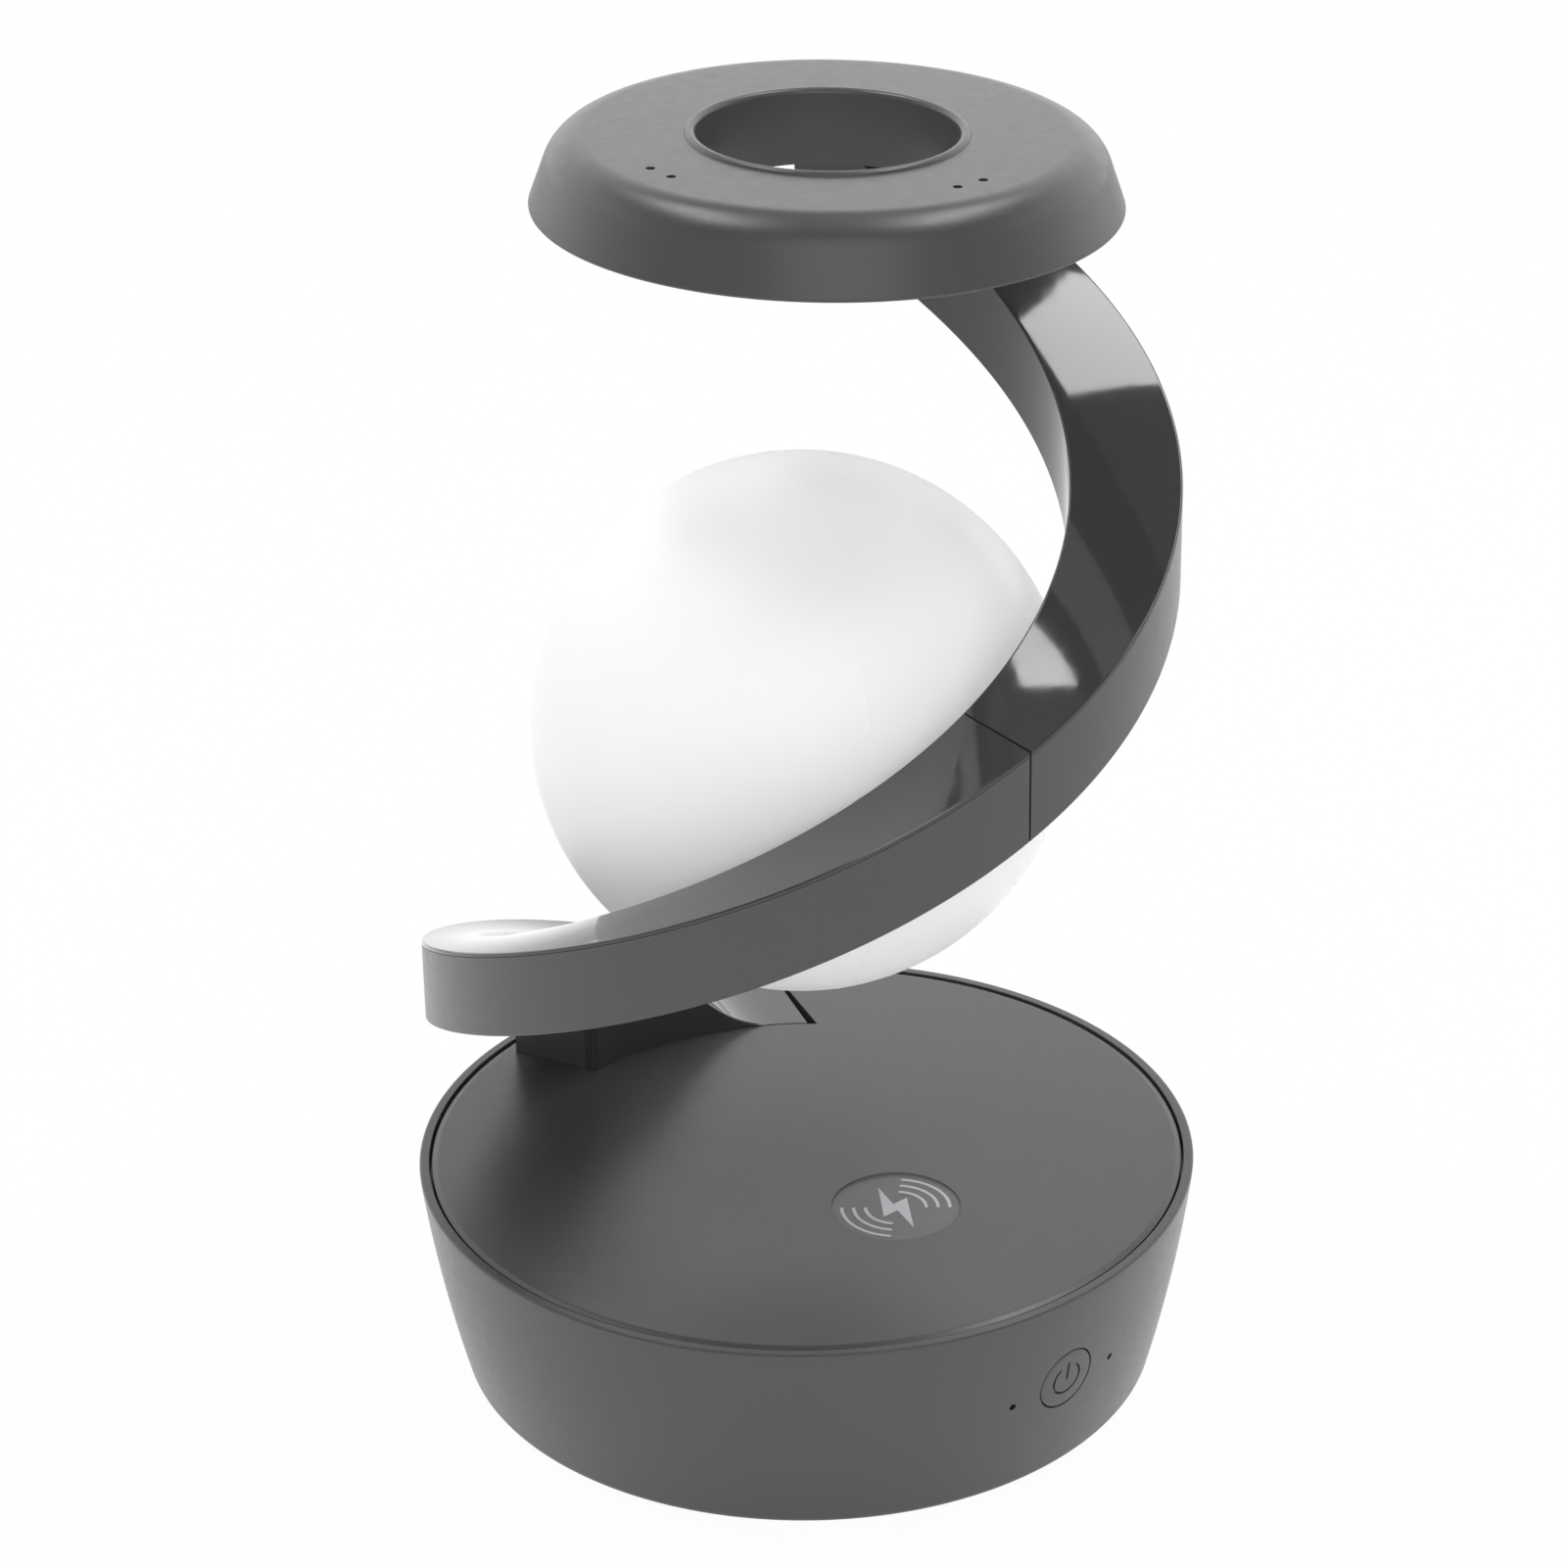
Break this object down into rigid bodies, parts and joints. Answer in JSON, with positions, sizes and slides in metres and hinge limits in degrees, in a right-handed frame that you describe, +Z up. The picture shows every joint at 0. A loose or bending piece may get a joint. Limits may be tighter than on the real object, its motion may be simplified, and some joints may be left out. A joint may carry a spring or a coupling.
{
  "type": "levitating ball lamp",
  "caption": "Table lamp: milky globe held inside a helical arm that climbs from a round charging base to a flat ring head, with a push button on the base.",
  "frame": {"origin": "on the drum base's axis, at the table under its rubber feet", "axes": "+Z up; -Y is the front, where the power button is; +X to the right seen from the front; the inlet is at +Y"},
  "size_m": [0.13, 0.13, 0.2112],
  "materials": {
    "satin_abs": "charcoal moulded ABS with a fine satin surface",
    "gloss_abs": "charcoal moulded ABS, polished",
    "black_abs": "dark moulded ABS, matt",
    "rubber": "black moulded rubber",
    "ballast_iron": "plain plate",
    "screw_steel": "nickel-plated",
    "copper": "wound copper wire, taken as one ring",
    "ferrite": "dark fired ferrite",
    "tray_plastic": "natural moulded plastic",
    "circuit_board": "green lacquer",
    "clear_plastic": "clear moulded plastic",
    "silver_print": "silver print",
    "led": "light-emitting diode",
    "wire": "soft insulation",
    "globe_milk": "milky blow-moulded plastic, softly matt",
    "white_board": "white lacquered board",
    "post_aluminium": "turned"
  },
  "bodies": {
    "lamp": {"base_shell": "satin_abs", "deck_plate": "satin_abs", "bottom_cover": "black_abs", "rubber_feet": "rubber", "ballast_plate": "ballast_iron", "ballast_screws": "screw_steel", "cover_screws": "screw_steel", "foot_screws": "screw_steel", "charging_coil": "copper", "ferrite_disc": "ferrite", "coil_tray": "tray_plastic", "coil_screws": "screw_steel", "main_board": "circuit_board", "board_parts": "ferrite", "board_screws": "screw_steel", "charging_emblem": "clear_plastic", "emblem_mark": "silver_print", "tact_switch": "screw_steel", "button_board": "circuit_board", "button_screws": "screw_steel", "indicator_lights": "clear_plastic", "indicator_leds": "led", "usb_socket": "screw_steel", "usb_tongue": "black_abs", "base_wires": "wire", "arm_lower_body": "satin_abs", "arm_lower_cover": "gloss_abs", "arm_upper_body": "satin_abs", "arm_upper_cover": "gloss_abs", "arm_joint_plug": "black_abs", "joint_screws": "screw_steel", "arm_cable": "wire", "globe": "globe_milk", "globe_collar": "screw_steel", "globe_nut": "screw_steel", "light_post": "post_aluminium", "globe_light_board": "white_board", "globe_leds": "led", "globe_cable": "wire", "ring_shell": "satin_abs", "ring_bottom_plate": "black_abs", "ring_diffuser": "globe_milk", "ring_light_board": "white_board", "ring_leds": "led", "ring_screws": "screw_steel", "ring_bracket": "screw_steel", "stem_nut": "screw_steel", "bracket_screws": "screw_steel"},
    "button": {"power_button": "satin_abs", "switch_plunger": "black_abs"}
  },
  "joints": [
    {"name": "button_press", "type": "slide", "parent": "lamp", "child": "button", "axis": [0, 1, 0], "range_m": [0, 0.0007], "stiffness_N_per_m": 600, "springref_m": -0.0005}
  ]
}
